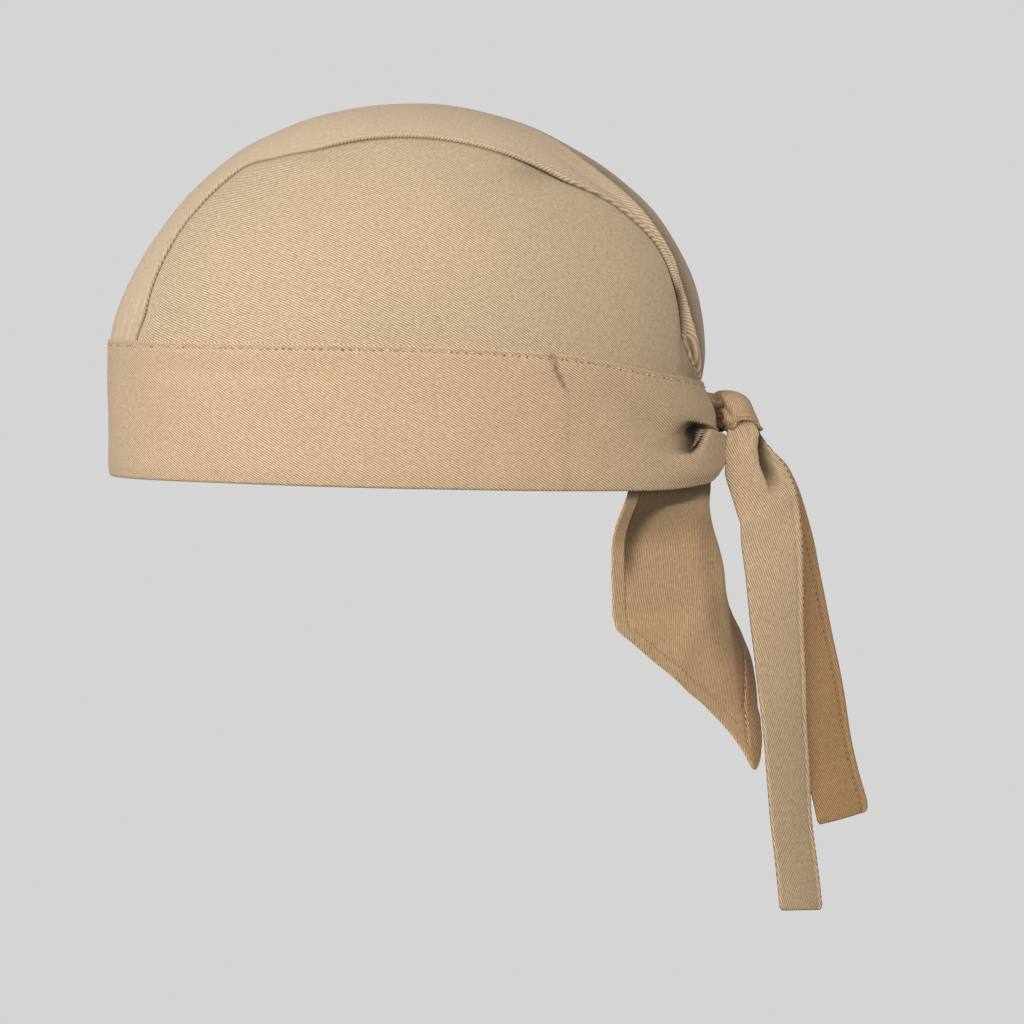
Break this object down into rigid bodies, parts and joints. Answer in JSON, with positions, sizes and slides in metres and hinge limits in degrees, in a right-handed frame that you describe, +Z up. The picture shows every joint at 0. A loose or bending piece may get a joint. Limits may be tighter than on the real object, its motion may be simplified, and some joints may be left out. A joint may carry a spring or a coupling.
{
  "type": "pirate cap",
  "caption": "Close-fitting cloth cap of crown panels on a folded headband, knotted at the back, with hanging tie ends and a neck flap.",
  "frame": {"origin": "centre of the head opening, level with the headband's lower edge", "axes": "+Z up out of the crown, -Y at the forehead, +Y at the back of the head where the knot is, +X to the wearer's left"},
  "size_m": [0.1558, 0.2569, 0.2722],
  "materials": {
    "crown_twill": "khaki cotton twill, matt",
    "band_twill": "khaki cotton twill, matt, two plies",
    "tie_twill": "khaki cotton twill, matt, folded and stitched",
    "flap_twill": "khaki cotton twill, matt, with a stitched hem"
  },
  "bodies": {
    "root": {"centre_panel": "crown_twill", "side_panel_left": "crown_twill", "side_panel_right": "crown_twill", "headband": "band_twill", "knot": "tie_twill", "tie_tail_long": "tie_twill", "tie_tail_short": "tie_twill", "neck_flap": "flap_twill"}
  },
  "joints": []
}
